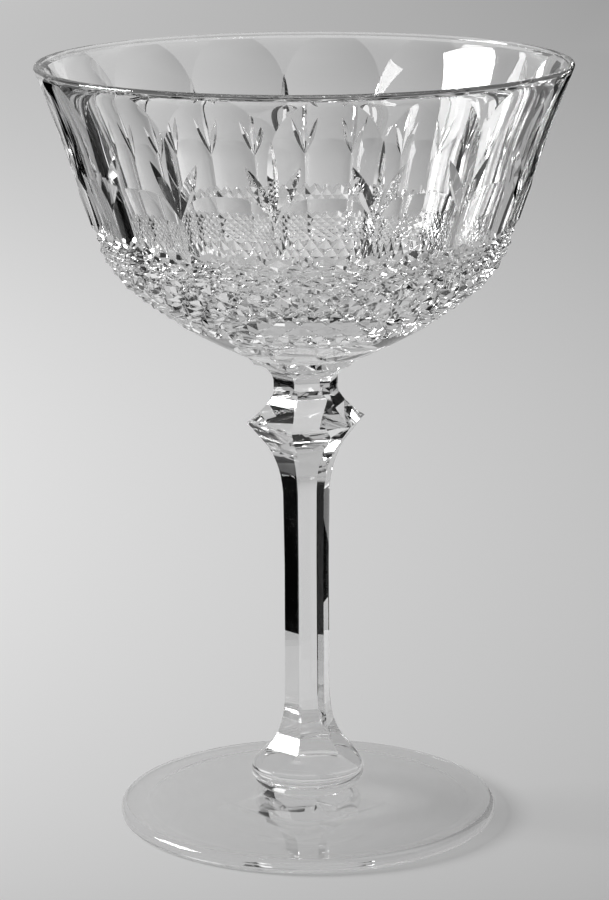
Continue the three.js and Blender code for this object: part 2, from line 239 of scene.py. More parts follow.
below_lip = RIM_HEIGHT - LIP / 2 - wall[::-1, 1]
growth = np.clip(below_lip / (RIM_HEIGHT - SHOULDER_HEIGHT), 0, 1) ** WALL_TAPER
inside_wall = np.column_stack((
    wall[::-1, 0] - LIP - (SHOULDER_WALL - LIP) * growth,
    wall[::-1, 1],
))
inside_wall = inside_wall[inside_wall[:, 1] > INSIDE_TURN]
turn_slope = (inside_wall[-1] - inside_wall[-2]) / np.linalg.norm(inside_wall[-1] - inside_wall[-2])
inside_floor = bezier(
    inside_wall[-1],
    inside_wall[-1] + turn_slope * LEAVE_TURN,
    (FLOOR_REACH, FLOOR_HEIGHT),
    (0, FLOOR_HEIGHT),
    steps=70,
)
bowl_outline = outline_of((0, BOWL_SEAM), underside, wall, lip, inside_wall, inside_floor)
print("the bowl's outline has", len(bowl_outline), "points")

# %% [markdown]
# ## Measuring along the blank
# A cutter marks a pattern along the glass and not by height, since the underside lies almost flat. So
# three small helpers tell the radius at a height, the length along the outside at a height, and the
# place and direction of the surface at a length.

# %% Measure along the outside
outer = outline_of(underside, wall)
outer_length = np.concatenate(([0], np.cumsum(np.linalg.norm(np.diff(outer, axis=0), axis=1))))


def blank_radius(height):
    return float(np.interp(height, outer[:, 1], outer[:, 0]))


def length_at(height):
    return float(np.interp(height, outer[:, 1], outer_length))


def outline_at(length):
    """Radius, height and outward direction of the blank at a length along it from the seam."""
    radius = np.interp(length, outer_length, outer[:, 0])
    height = np.interp(length, outer_length, outer[:, 1])
    i = int(np.clip(np.searchsorted(outer_length, length), 1, len(outer) - 1))
    step = outer[i] - outer[i - 1]
    step = step / np.linalg.norm(step)
    return float(radius), float(height), (float(step[1]), float(-step[0]))


print("from seam to lip the outside is", round(outer_length[-1], 1), "mm long")

# %% [markdown]
# ## Flutes and arched panels
# The wall is ground on a wide stone wheel: fifteen flutes under the rim, and under them fifteen panels
# whose tops look like arches. Nobody draws those arches. Each is the line where a slightly hollow panel
# meets the slightly crowned flute above it, so here too the arches come out of two ground faces.

# %% Size the sections, flutes and panels
SECTIONS = 15
SECTION = 2 * math.pi / SECTIONS
PER_SECTION = 24
SPRAY_TURN = math.radians(-7.1)
SPRAY_BASE = RIM_HEIGHT - 23.8

FLUTE_TOP = RIM_HEIGHT - LIP / 2
FLUTE_FADE = RIM_HEIGHT - 12
FLUTE_FADE_RADIUS = 64
FLUTE_RELIEF = 0.05
FLUTE_WHEEL = 400

ARCH_TOP = RIM_HEIGHT - 18.9
PANEL_MIDDLE = RIM_HEIGHT - 31.5
PANEL_RELIEF = 0.35
PANEL_RUN_OUT = 4.3
PANEL_RUN_OUT_RADIUS = 8
PANEL_WHEEL = 75
PANEL_FLATNESS = 4
print(SECTIONS, "sections,", round(blank_radius(ARCH_TOP) * SECTION, 1), "mm wide at the arches")

# %% Size the fine diamonds, on which the panels end
FINE_TOP = RIM_HEIGHT - 30.7
FINE_PER_SECTION = 4
FINE_ROWS = 7
FINE_SLOPE = math.radians(30)

fine_step = SECTION / FINE_PER_SECTION / 2
fine_row_length = math.tan(FINE_SLOPE) * fine_step * SHOULDER_RADIUS
PANEL_FOOT = outline_at(length_at(FINE_TOP) - FINE_ROWS * fine_row_length)[1]
PANEL_FADE = PANEL_FOOT + PANEL_RUN_OUT / 2
print("a fine row is", round(fine_row_length, 2), "mm, panels end at", round(PANEL_FOOT, 1), "mm")


# %% Describe the ground faces
def half_chord(height):
    return blank_radius(height) * math.sin(SECTION / 2)


def crown(height, wheel):
    """How deep a wheel of this radius is at the middle of one section."""
    return half_chord(height) ** 2 / (2 * wheel)


def wheel_rise(past, wheel):
    """How far a wheel of this radius has left the glass, past the point where it starts to leave."""
    return max(0, past) ** 2 / (2 * wheel)


def flute_distance(height, across):
    flat = (blank_radius(height) - FLUTE_RELIEF) * math.cos(SECTION / 2)
    bulge = crown(height, FLUTE_WHEEL) * (1 - (across / half_chord(height)) ** 2)
    return flat + bulge + wheel_rise(height - FLUTE_FADE, FLUTE_FADE_RADIUS)


def panel_distance(height, across):
    flat = (blank_radius(height) - PANEL_RELIEF) * math.cos(SECTION / 2)
    hollow = crown(height, PANEL_WHEEL) * (1 - (across / half_chord(height)) ** PANEL_FLATNESS)
    arch_lift = crown(ARCH_TOP, PANEL_WHEEL) + crown(ARCH_TOP, FLUTE_WHEEL) + PANEL_RELIEF - FLUTE_RELIEF
    lift = arch_lift * ((height - PANEL_MIDDLE) / (ARCH_TOP - PANEL_MIDDLE)) ** 2
    return flat - hollow + lift + wheel_rise(PANEL_FADE - height, PANEL_RUN_OUT_RADIUS)


def ground_radius(distance, height, azimuth):
    """Radius of a ground face at an azimuth that counts from the ridge between two sections."""
    offset = (azimuth / SECTION % 1 - 0.5) * SECTION
    across = blank_radius(height) * math.cos(SECTION / 2) * math.tan(offset)
    return distance(height, across) / math.cos(offset)


flute_cut = blank_radius(ARCH_TOP) - ground_radius(flute_distance, ARCH_TOP, SECTION / 2)
print("at the arches a flute is", round(flute_cut, 2), "mm deep in its middle")


# %% [markdown]
# ## Waste glass
# Fifteen cutters could take the faces off one by one. It is easier to think of what falls on the floor:
# each set of ground faces is one closed ring of waste round the bowl, with the finished faces on its
# inner side. Taking the ring away leaves all fifteen at once.

# %% Make a ring of waste glass
WASTE_ROWS = 70
WASTE_WIDTH = 8
WASTE_OVERLAP = 2


def waste_ring(name, distance, bottom, top, tool):
    columns = SECTIONS * PER_SECTION
    heights = np.linspace(bottom, top, WASTE_ROWS)
    outside = RIM_RADIUS + WASTE_WIDTH
    loop_length = WASTE_ROWS + 2
    points = []
    for c in range(columns):
        azimuth = 2 * math.pi * c / columns
        turned = azimuth + SPRAY_TURN
        points += [around(ground_radius(distance, h, azimuth), turned, h) for h in heights]
        points += [around(outside, turned, top), around(outside, turned, bottom)]
    faces = []
    for c in range(columns):
        here = c * loop_length
        there = (c + 1) % columns * loop_length
        for r in range(loop_length):
            s = (r + 1) % loop_length
            faces.append((here + r, here + s, there + s, there + r))
    return make_mesh(name, points, faces, tool)


cutters = [
    waste_ring("flutes", flute_distance, SPRAY_BASE - WASTE_OVERLAP, FLUTE_TOP, FLUTE),
    waste_ring(
        "panels", panel_distance, PANEL_FOOT - PANEL_RUN_OUT / 2, ARCH_TOP + WASTE_OVERLAP, PANEL
    ),
]
print([(ring.name, len(ring.data.polygons)) for ring in cutters])


# %% [markdown]
# ## Mitred grooves
# Leaves and diamonds are cut with a wheel whose edge is turned to a V. The groove it leaves is the V
# moved along a path, so one helper sweeps a triangle along points on the glass, each with the outward
# direction there and the depth of the cut. A curve object with a bevel could sweep the V too, but it
# doesn't keep it square to a round bowl.

# %% Sweep a mitre wheel along a path
WHEEL_ROOM = 0.6
WHEEL_CORNERS = 3


def groove_rings(stops, groove_angle):
    spread = math.tan(math.radians(groove_angle / 2))
    places = [Vector(stop[0]) for stop in stops]
    rings = []
    for i, (_, outward, depth) in enumerate(stops):
        along = (places[min(i + 1, len(stops) - 1)] - places[max(i - 1, 0)]).normalized()
        normal = Vector(outward)
        side = along.cross(normal).normalized()
        reach = (depth + WHEEL_ROOM) * spread
        crest = places[i] + normal * WHEEL_ROOM
        rings.append((places[i] - normal * depth, crest - side * reach, crest + side * reach))
    return rings


def grooves(name, paths, groove_angle, tool):
    points = []
    faces = []
    for stops in paths:
        base = len(points)
        rings = groove_rings(stops, groove_angle)
        for ring in rings:
            points += [tuple(point) for point in ring]
        for r in range(len(rings) - 1):
            for k in range(WHEEL_CORNERS):
                a = base + WHEEL_CORNERS * r + k
                b = base + WHEEL_CORNERS * r + (k + 1) % WHEEL_CORNERS
                faces.append((a, b, b + WHEEL_CORNERS, a + WHEEL_CORNERS))
        last = base + WHEEL_CORNERS * (len(rings) - 1)
        faces += [(base + 2, base + 1, base), (last, last + 1, last + 2)]
    return make_mesh(name, points, faces, tool)


def stop_at(radius, length, azimuth, depth):
    """One stop of the wheel: its place, the outward direction of the blank there, and the depth."""
    _, height, (sideways, upward) = outline_at(length)
    outward = (sideways * math.sin(azimuth), -sideways * math.cos(azimuth), upward)
    return around(radius, azimuth, height), outward, depth


print("the wheel is drawn up to", WHEEL_ROOM, "mm above the glass")


# %% [markdown]
# ## Leaf sprays
# On each ridge between two sections stands a spray of three leaves, a long one in the middle and a
# shorter one leaning out on each side. All three start from one point. The wheel goes in gently, is
# deepest half way and comes out again, which is what gives a leaf its pointed ends.

# %% Cut paths for the leaves
LEAF_DEPTH = 1
LEAF_ANGLE = 100
LEAF_STOPS = 25
MIDDLE_LEAF_TIP = RIM_HEIGHT - 8.1
SIDE_LEAF_TIP = RIM_HEIGHT - 13.1
SIDE_LEAF_SPREAD = 5
# The wheel starts and ends this far above the glass, so a tip is a clean point.
LEAF_MISS = 0.02


def leaf_path(section, sideways, tip):
    lean = sideways * SIDE_LEAF_SPREAD / blank_radius(tip)
    stops = []
    for share in np.linspace(0, 1, LEAF_STOPS):
        height = SPRAY_BASE + share * (tip - SPRAY_BASE)
        azimuth = section * SECTION + lean * share
        radius = ground_radius(flute_distance, height, azimuth)
        depth = LEAF_DEPTH * (1 - (2 * share - 1) ** 2) - LEAF_MISS
        stops.append(stop_at(radius, length_at(height), azimuth + SPRAY_TURN, depth))
    return stops


for sideways, tip in ((0, MIDDLE_LEAF_TIP), (1, SIDE_LEAF_TIP), (-1, SIDE_LEAF_TIP)):
    paths = [leaf_path(section, sideways, tip) for section in range(SECTIONS)]
    cutters.append(grooves("leaves", paths, LEAF_ANGLE, LEAF))
    print("leaves", round(tip - SPRAY_BASE, 1), "mm high, leaning", sideways)

# %% [markdown]
# ## Diamond bands
# Two sets of parallel grooves that cross each other leave rows of pyramids. The fine band holds four
# diamonds to a section. Below it a coarser band runs down the underside, where the rows close up as
# the bowl gets narrower. Grooves beside each other overlap a little above the glass, so every other
# one goes into a cutter of its own and no cutter ever touches itself.

# %% Share rules of both diamond bands
BETWEEN_ROWS = 4
# A groove goes this much deeper than it needs to meet the next, and its ends lie this far off the glass.
GROOVE_OVERLAP = 0.04
GROOVE_MISS = 0.05


def meeting_depth(spacing, groove_angle):
    """The depth at which grooves side by side just meet, so the diamonds get sharp points."""
    return spacing / 2 / math.tan(math.radians(groove_angle / 2)) + GROOVE_OVERLAP


def run_out(depth, row, first, last):
    """Lets the wheel in over the first half row and out over the last one."""
    edge = min(1, (row - first) * 2, (last - row) * 2)
    return depth * edge - GROOVE_MISS * (1 - edge)


def halves(count, path_of):
    """Two lists of paths, of the even and the odd columns."""
    return [[path_of(c) for c in range(start, count, 2)] for start in (0, 1)]


print("half a row in, a groove of 1 mm is", run_out(1, 0.5, 0, 9), "mm deep")

# %% Cut paths for the fine diamonds
FINE_ANGLE = 114
FINE_MARGIN = 0.5


def fine_path(column, direction):
    spacing = 2 * fine_step * SHOULDER_RADIUS * math.sin(FINE_SLOPE)
    depth = meeting_depth(spacing, FINE_ANGLE)
    first, last = -FINE_MARGIN, FINE_ROWS + FINE_MARGIN
    stops = []
    for row in np.linspace(first, last, (FINE_ROWS + 1) * BETWEEN_ROWS + 1):
        azimuth = (2 * column + direction * row) * fine_step
        length = length_at(FINE_TOP) - row * fine_row_length
        height = outline_at(length)[1]
        radius = min(ground_radius(panel_distance, height, azimuth), blank_radius(height))
        stops.append(stop_at(radius, length, azimuth + SPRAY_TURN, run_out(depth, row, first, last)))
    return stops


print("a fine groove has", len(fine_path(0, 1)), "stops")

# %% Cut paths for the coarse diamonds
COARSE_COUNT = 36
COARSE_TOP = RIM_HEIGHT - 38.8
COARSE_TURN = math.radians(2.9)
COARSE_SLOPE = math.radians(48)
COARSE_ANGLE = 124
PLAIN_MARGIN = 13

coarse_step = math.pi / COARSE_COUNT
coarse_lengths = []
length = length_at(COARSE_TOP)
while length > PLAIN_MARGIN:
    coarse_lengths.append(length)
    length -= outline_at(length)[0] * coarse_step * math.tan(COARSE_SLOPE)


def coarse_path(column, direction):
    count = len(coarse_lengths)
    first, last = -1, count - 0.5
    above = 2 * coarse_lengths[0] - coarse_lengths[1]
    below = 1.5 * coarse_lengths[-1] - 0.5 * coarse_lengths[-2]
    known_rows = [first, *range(count), last]
    known_lengths = [above, *coarse_lengths, below]
    stops = []
    for row in np.linspace(first, last, 2 * count * BETWEEN_ROWS + 1):
        length = float(np.interp(row, known_rows, known_lengths))
        radius = outline_at(length)[0]
        spacing = 2 * coarse_step * radius * math.sin(COARSE_SLOPE)
        depth = run_out(meeting_depth(spacing, COARSE_ANGLE), row, first, last)
        azimuth = (2 * column + direction * row) * coarse_step + COARSE_TURN
        stops.append(stop_at(radius, length, azimuth, depth))
    return stops


print("coarse grooves cross in", len(coarse_lengths), "rows")

# %% Sweep the diamond grooves both ways round
for direction in (1, -1):
    for paths in halves(SECTIONS * FINE_PER_SECTION, lambda c: fine_path(c, direction)):
        cutters.append(grooves("fine diamonds", paths, FINE_ANGLE, FINE))
    for paths in halves(COARSE_COUNT, lambda c: coarse_path(c, direction)):
        cutters.append(grooves("coarse diamonds", paths, COARSE_ANGLE, COARSE))
print(len(cutters), "cutters for the bowl")

# %% [markdown]
# ## Cutting
# The cuts could be modelled face by face, but thousands of them cross each other. A Boolean modifier
# finds the crossings while it takes each cutter from the blank. Its manifold solver is made for closed
# meshes and stays fast with tens of thousands of faces.

# %% Cut the bowl
def run_cuts(blank, cutters, operation="DIFFERENCE"):
    for cutter in cutters:
        modifier = blank.modifiers.new(cutter.name, "BOOLEAN")
        modifier.operation = operation
        modifier.solver = "MANIFOLD"
        modifier.object = cutter
    graph = bpy.context.evaluated_depsgraph_get()
    mesh = bpy.data.meshes.new_from_object(blank.evaluated_get(graph))
    blank.modifiers.clear()
    blank.data = mesh
    for cutter in cutters:
        bpy.data.objects.remove(cutter)


bowl = lathe("crystal_bowl", bowl_outline, SECTIONS * PER_SECTION, SPRAY_TURN)
run_cuts(bowl, cutters)
print("bowl", len(bowl.data.polygons), "faces")

# %% [markdown]
# ## The stem
# The stem is a round rod with a bulb at its foot and a collar at its top. Six flats are ground along
# it, and where the flats run into the thicker bulb and collar they end in curves. So the stem is what a
# round blank and a six-sided form have in common. The knop keeps a sharp edge all round.

# %% Turn the round stem
STEM_COLUMNS = 240
SHAFT_BLANK = 6.5
KNOP_BLANK = 12.6
NECK_BLANK = SEAM_RADIUS - 1.5
NECK_FOOT = BOWL_SEAM - 8.9
COLLAR_FOOT = BOWL_SEAM - 1.5
KNOP_HEIGHT = BOWL_SEAM - 12.7
KNOP_FOOT = KNOP_HEIGHT - 12.7
KNOP_TOP = KNOP_HEIGHT + 1
SHAFT_FOOT = FOOT_SEAM + 20.4
BULB_RADIUS = 10.85
BULB_HEIGHT = FOOT_SEAM + 3.3
BULB_ROUND = 3.5
BULB_SEAM = 8.3
# The round of the bulb in degrees, where zero is level.
BULB_START, BULB_END = -68, 42
# Radius and height of the points that shape the change from bulb to shaft.
BULB_TO_SHAFT = ((9.95, 11.25), (8.6, 12.9), (6.9, 15), (SHAFT_BLANK, 17))

core = BULB_RADIUS - BULB_ROUND
stem_outline = outline_of(
    (0, FOOT_SEAM),
    (BULB_SEAM, FOOT_SEAM),
    arc((core, BULB_HEIGHT), (BULB_ROUND, BULB_ROUND), BULB_START, 0, steps=24),
    arc((core, BULB_HEIGHT), (BULB_ROUND, BULB_ROUND), 0, BULB_END, steps=16),
    bezier(*BULB_TO_SHAFT, steps=30),
    (SHAFT_BLANK, SHAFT_FOOT),
    (KNOP_BLANK, KNOP_FOOT),
    (KNOP_BLANK, KNOP_TOP),
    (NECK_BLANK, NECK_FOOT),
    (NECK_BLANK, COLLAR_FOOT),
    (SEAM_RADIUS, BOWL_SEAM),
    (0, BOWL_SEAM),
)
stem = lathe("crystal_stem", stem_outline, STEM_COLUMNS)
print("stem blank", len(stem.data.polygons), "faces, knop at", round(KNOP_HEIGHT, 1), "mm")

# %% Grind the six flats
STEM_SIDES = 6
STEM_TURN = math.radians(-14.1)
CLEAR_RADIUS = 14
COLLAR_FLAT = 12.2
OVERSHOOT = 1
# Corner radius and height of the six-sided form, in millimetres, from the bulb up to the collar.
FLATS_LEAVE_BULB = ((9.6, 12.4), (5.6, 15.4), (4.5, 19), (4.45, 26))
SHAFT_MIDDLE = (4.4, BOWL_SEAM - 40.9)
FLATS_MEET_KNOP = ((4.6, BOWL_SEAM - 26.9), (5, 68.6), (6, 70.9), (7.6, BOWL_SEAM - 17.4))
FLATS_LEAVE_KNOP = ((11.6, KNOP_HEIGHT), (8.9, 79.9), (7.3, NECK_FOOT))
NECK = ((6.6, BOWL_SEAM - 7.9), (6.3, BOWL_SEAM - 7.1))
FLATS_MEET_COLLAR = ((6.3, BOWL_SEAM - 4.9), (7, 89), (10.7, COLLAR_FOOT))

flats_outline = outline_of(
    (0, FOOT_SEAM - OVERSHOOT),
    (CLEAR_RADIUS, FOOT_SEAM - OVERSHOOT),
    (CLEAR_RADIUS, BULB_HEIGHT),
    bezier(*FLATS_LEAVE_BULB, steps=40),
    SHAFT_MIDDLE,
    bezier(*FLATS_MEET_KNOP, steps=30),
    bezier(*FLATS_LEAVE_KNOP, steps=24),
    *NECK,
    bezier(*FLATS_MEET_COLLAR, steps=24),
    (COLLAR_FLAT, BOWL_SEAM),
    (COLLAR_FLAT, BOWL_SEAM + OVERSHOOT),
    (0, BOWL_SEAM + OVERSHOOT),
)
run_cuts(stem, [lathe("six flats", flats_outline, STEM_SIDES, STEM_TURN, FACET)], "INTERSECT")
print("stem", len(stem.data.polygons), "faces")

# %% [markdown]
# ## The foot
# The foot is spun flat while the glass is soft, so it is round and uncut. Its edge is fire polished,
# its top rises gently to the stem, and underneath a shallow hollow leaves a flat ring to stand on. The
# lathe helper turns it in one go, and nothing has to be cut.

# %% Turn the foot
FOOT_COLUMNS = 288
EDGE = 2.8
EDGE_ROUND = 1.3
EDGE_END = 86
RING_WIDTH = 4
RING_INSIDE = FOOT_RADIUS - EDGE_ROUND - RING_WIDTH
DISH = 1.2
FLARE = (17, 4.6)
# Radius and height of the points that shape the hollow, the top and the rise to the stem.
HOLLOW = ((0, DISH), (RING_INSIDE * 0.45, DISH), (RING_INSIDE * 0.85, DISH * 0.6), (RING_INSIDE, 0))
TOP = ((FOOT_RADIUS - 1.2, EDGE), (27, 3.6), (21, 4.1), FLARE)
RISE = (FLARE, (13, 5.05), (10.5, 5.15), (BULB_SEAM, FOOT_SEAM))

foot_outline = outline_of(
    bezier(*HOLLOW, steps=60),
    arc((FOOT_RADIUS - EDGE_ROUND, EDGE_ROUND), (EDGE_ROUND, EDGE_ROUND), -90, 0, steps=16),
    arc((FOOT_RADIUS - EDGE_ROUND, EDGE - EDGE_ROUND), (EDGE_ROUND, EDGE_ROUND), 0, EDGE_END, steps=16),
    bezier(*TOP, steps=60),
    bezier(*RISE, steps=24),
    (0, FOOT_SEAM),
)
foot = lathe("crystal_foot", foot_outline, FOOT_COLUMNS)
print("foot", len(foot.data.polygons), "faces")

# %% [markdown]
# ## Fused seams and crisp edges
# The three pieces are fused hot, so light crosses from one to the next as if nothing were there. Each
# piece stays a closed body, and its seam face gets a clear material that doesn't bend or mirror light.
# Every face is shaded smooth, and an edge is marked sharp where two tools meet or where the surface
# turns. A bevel on each edge would take many more faces, and a polished cut edge is sharp anyway.

# %% Mark the seam faces and the crisp edges
CRISP_TURN = math.radians(11)
SEAM_REACH = 0.01
LEVEL = 0.999


def mark_seams(thing, heights):
    values = thing.data.attributes["made_by"].data
    seam_faces = 0
    for face in thing.data.polygons:
        near = any(abs(face.center.z / MM - height) < SEAM_REACH for height in heights)
        if near and abs(face.normal.z) > LEVEL:
            values[face.index].value = SEAM
            seam_faces += 1
    return seam_faces


def crisp_edges(thing):
    work = bmesh.new()
    work.from_mesh(thing.data)
    made_by = work.faces.layers.int["made_by"]
    for face in work.faces:
        face.smooth = True
    for edge in work.edges:
        tools = {face[made_by] for face in edge.link_faces}
        edge.smooth = len(tools) == 1 and edge.calc_face_angle(math.pi) < CRISP_TURN
    crisp = sum(not edge.smooth for edge in work.edges)
    work.to_mesh(thing.data)
    work.free()
    return crisp


for thing, heights in ((bowl, [BOWL_SEAM]), (stem, [BOWL_SEAM, FOOT_SEAM]), (foot, [FOOT_SEAM])):
    print(thing.name, mark_seams(thing, heights), "seam faces,", crisp_edges(thing), "crisp edges")

# %% [markdown]
# ## Colours and nodes
# Colours are written as the hex values that a paint chart or a picture editor shows, and Blender works
# with linear light, so one function turns one into the other. Materials are small networks of nodes.
# One helper adds a node with its settings, and links every input that is given as a socket.

# %% Turn colours to linear and add nodes
def srgb(code):
    """A hex colour as Blender's linear red, green, blue, alpha."""
    parts = [int(code[i:i + 2], 16) / 255 for i in (1, 3, 5)]
    return [c / 12.92 if c <= 0.04045 else ((c + 0.055) / 1.055) ** 2.4 for c in parts] + [1]


def empty_material(name):
    material = bpy.data.materials.new(name)
    material.use_nodes = True
    material.node_tree.nodes.clear()
    return material, material.node_tree


def add_node(tree, kind, settings=None, **inputs):
    """Adds a node, sets its properties and its inputs. An input named _2 is the one at place 2."""
    node = tree.nodes.new(kind)
    for key, value in (settings or {}).items():
        setattr(node, key, value)
    for key, value in inputs.items():
        socket = node.inputs[int(key[1:])] if key[1:].isdigit() else node.inputs[key.replace("_", " ")]
        if isinstance(value, bpy.types.NodeSocket):
            tree.links.new(value, socket)
        else:
            socket.default_value = value
    return node


LARGER = {"operation": "MAXIMUM"}
TIMES = {"operation": "MULTIPLY"}
TO_THE_POWER = {"operation": "POWER"}
ABOVE = {"operation": "GREATER_THAN"}
print("a middle grey of #808080 is", round(srgb("#808080")[0], 3), "in linear light")


# %% [markdown]
# ## Lead crystal
# The glass is lead crystal, colourless and heavy. Lead raises its refractive index to about 1.55, which
# is what makes the cuts sparkle. Blown faces are fire polished and dead smooth, with a wide, faint
# ripple from the soft glass. Cut faces are dipped in acid to polish them, which leaves a closer and
# even fainter ripple. Both are a few micrometres high at most and can't be seen as relief. What the eye
# gets from them is that straight reflections bend a little.

# %% Describe the body of the glass
LEAD_CRYSTAL_IOR = 1.545
# Size and height of the ripple in millimetres.
FIRE_POLISH = (14, 0.003)
ACID_POLISH = (5, 0.001)


def polished_glass(tree, polish):
    size, height = polish
    place = add_node(tree, "ShaderNodeTexCoord").outputs["Object"]
    ripple = add_node(tree, "ShaderNodeTexNoise", Vector=place, Scale=1 / (size * MM), Detail=1.0)
    bump = add_node(
        tree, "ShaderNodeBump", Height=ripple.outputs["Fac"], Distance=height * MM, Strength=1.0
    )
    glass = add_node(
        tree,
        "ShaderNodeBsdfPrincipled",
        Base_Color=srgb("#fefefe"),
        Roughness=0.0,
        IOR=LEAD_CRYSTAL_IOR,
        Transmission_Weight=1.0,
        Normal=bump.outputs["Normal"],
    )
    return glass.outputs["BSDF"]


print("ripples of", FIRE_POLISH[0], "and", ACID_POLISH[0], "mm")


# %% [markdown]
# ## Light through the glass
# Real glass gathers lamp light into bright patterns on the table. They would take far too many rays, so
# a ray from the table towards a lamp or the room goes straight through. Where it meets a face at a
# slant it is darkened, since such a face mirrors most of its light away, and so the glass throws a
# soft shadow. A ray that has been mirrored inside many times leaves straight too. Without this such
# rays came out black, and they filled the thick bulb and the edge of the foot.

# %% Describe how light leaves the glass
EVEN_SLANT = 0.5
SLANT_BEND = 3.5


def light_rays(tree):
    """Is one for a ray towards a lamp and for one from the matt table, and zero for the others."""
    path = add_node(tree, "ShaderNodeLightPath").outputs
    shadow_ray, table_ray = path["Is Shadow Ray"], path["Is Diffuse Ray"]
    return add_node(tree, "ShaderNodeMath", LARGER, _0=shadow_ray, _1=table_ray).outputs[0]


def straight_through(tree, light):
    facing = add_node(tree, "ShaderNodeLayerWeight", Blend=EVEN_SLANT).outputs["Facing"]
    slant = add_node(tree, "ShaderNodeMath", TO_THE_POWER, _0=facing, _1=SLANT_BEND).outputs[0]
    shaded = add_node(tree, "ShaderNodeMath", TIMES, _0=slant, _1=light).outputs[0]
    ends = {"_6": srgb("#fbfbfb"), "_7": srgb("#202020")}
    shade = add_node(tree, "ShaderNodeMix", {"data_type": "RGBA"}, Factor=shaded, **ends)
    return add_node(tree, "ShaderNodeBsdfTransparent", Color=shade.outputs[2]).outputs["BSDF"]


def crystal(name, polish, most_reflections):
    material, tree = empty_material(name)
    light = light_rays(tree)
    mirrored = add_node(tree, "ShaderNodeLightPath").outputs["Glossy Depth"]
    spent = add_node(tree, "ShaderNodeMath", ABOVE, _0=mirrored, _1=most_reflections - 0.5).outputs[0]
    either = add_node(tree, "ShaderNodeMath", LARGER, _0=light, _1=spent).outputs[0]
    body = polished_glass(tree, polish)
    clear = straight_through(tree, light)
    mixed = add_node(tree, "ShaderNodeMixShader", _0=either, _1=body, _2=clear)
    add_node(tree, "ShaderNodeOutputMaterial", Surface=mixed.outputs["Shader"])
    return material


# A ray leaves straight after so many reflections. The bowl and the cuts keep their darkest accents.
BOWL_REFLECTIONS, STEM_REFLECTIONS = 5, 4
bowl_glass = crystal("fire polished lead crystal of the bowl", FIRE_POLISH, BOWL_REFLECTIONS)
foot_glass = crystal("fire polished lead crystal of the stem and foot", FIRE_POLISH, STEM_REFLECTIONS)
cut_glass = crystal("acid polished wheel cut lead crystal", ACID_POLISH, BOWL_REFLECTIONS)
print([material.name for material in (bowl_glass, foot_glass, cut_glass)])

# %% [markdown]
# ## Glass on the pieces
# Each piece carries three materials: the blown glass, the cut glass and the seam. The number that every
# face remembers from its tool picks one of them, so nothing has to be painted by hand.

# %% Dress the three pieces
BLOWN_SLOT, CUT_SLOT, SEAM_SLOT = range(3)

seam, tree = empty_material("fused seam inside lead crystal")
clear = add_node(tree, "ShaderNodeBsdfTransparent", Color=srgb("#ffffff"))
add_node(tree, "ShaderNodeOutputMaterial", Surface=clear.outputs["BSDF"])


def dress(thing, blown_glass, *nodes):
    thing.data.materials.clear()
    for material in (blown_glass, cut_glass, seam):
        thing.data.materials.append(material)
    values = thing.data.attributes["made_by"].data
    slots = [{BLOWN: BLOWN_SLOT, SEAM: SEAM_SLOT}.get(value.value, CUT_SLOT) for value in values]
    thing.data.polygons.foreach_set("material_index", slots)
    thing.data.update()
    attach(thing, "root")
    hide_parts(*nodes)
    print(thing.name, slots.count(BLOWN_SLOT), "blown faces,", slots.count(CUT_SLOT), "cut faces")


dress(bowl, bowl_glass, "bowl")
dress(stem, foot_glass, "stem")
dress(foot, foot_glass, "foot")

# %% [markdown]
# ## The table
# Clear glass has no colour of its own and shows its surroundings, so most of its look is made here. It
# stands on a table with matt, pale paint, which mirrors nothing and shows only a soft shadow. It reaches
# so far back that it is the whole background. The picture is a little brighter at the back and the left.
# The table gets that as a faint glow that only the camera and the glass can see, because a stronger lamp
# would brighten everything. It lies a hair below the foot, so the two faces never fall together.

# %% Lay the table
TABLE_RADIUS = 3000
TABLE_SIDES = 96
TABLE_GAP = 0.08

corners = [around(TABLE_RADIUS, 2 * math.pi * i / TABLE_SIDES, -TABLE_GAP) for i in range(TABLE_SIDES)]
table = make_mesh("table", corners, [tuple(range(TABLE_SIDES))])
print("table", 2 * TABLE_RADIUS * MM, "m across")


# %% Finish the table top
def direct_view(tree):
    """Is one for a ray from the camera, mirrored by glass or through glass, and zero for other rays."""
    path = add_node(tree, "ShaderNodeLightPath").outputs
    camera_ray, mirror_ray = path["Is Camera Ray"], path["Is Glossy Ray"]
    either = add_node(tree, "ShaderNodeMath", LARGER, _0=camera_ray, _1=mirror_ray).outputs[0]
    through = path["Is Transmission Ray"]
    return add_node(tree, "ShaderNodeMath", LARGER, _0=either, _1=through).outputs[0]


# Distances in metres from the glass, and the strength of the glow there.
GLOW_START, GLOW_END, GLOW_BEND = -0.06, 1.6, 0.42
GLOW_SIDE, LEFT_GLOW, RIGHT_GLOW = 0.2, 0.5, 0.3
AROUND_START, AROUND_END, AROUND_GLOW = 0.25, 1.3, 0.3

table_top, tree = empty_material("matt pale table top")
paint = add_node(tree, "ShaderNodeBsdfDiffuse", Color=srgb("#dcdcdc"))
place = add_node(tree, "ShaderNodeTexCoord").outputs["Object"]
spot = add_node(tree, "ShaderNodeSeparateXYZ", Vector=place).outputs
back_range = {"From_Min": GLOW_START, "From_Max": GLOW_END}
side_range = {"From_Min": -GLOW_SIDE, "From_Max": GLOW_SIDE, "To_Min": LEFT_GLOW, "To_Max": RIGHT_GLOW}
away_range = {"From_Min": AROUND_START, "From_Max": AROUND_END, "To_Max": AROUND_GLOW}
back = add_node(tree, "ShaderNodeMapRange", Value=spot["Y"], **back_range).outputs[0]
side = add_node(tree, "ShaderNodeMapRange", Value=spot["X"], **side_range).outputs[0]
away = add_node(tree, "ShaderNodeVectorMath", {"operation": "LENGTH"}, _0=place).outputs["Value"]
away_glow = add_node(tree, "ShaderNodeMapRange", Value=away, **away_range).outputs[0]
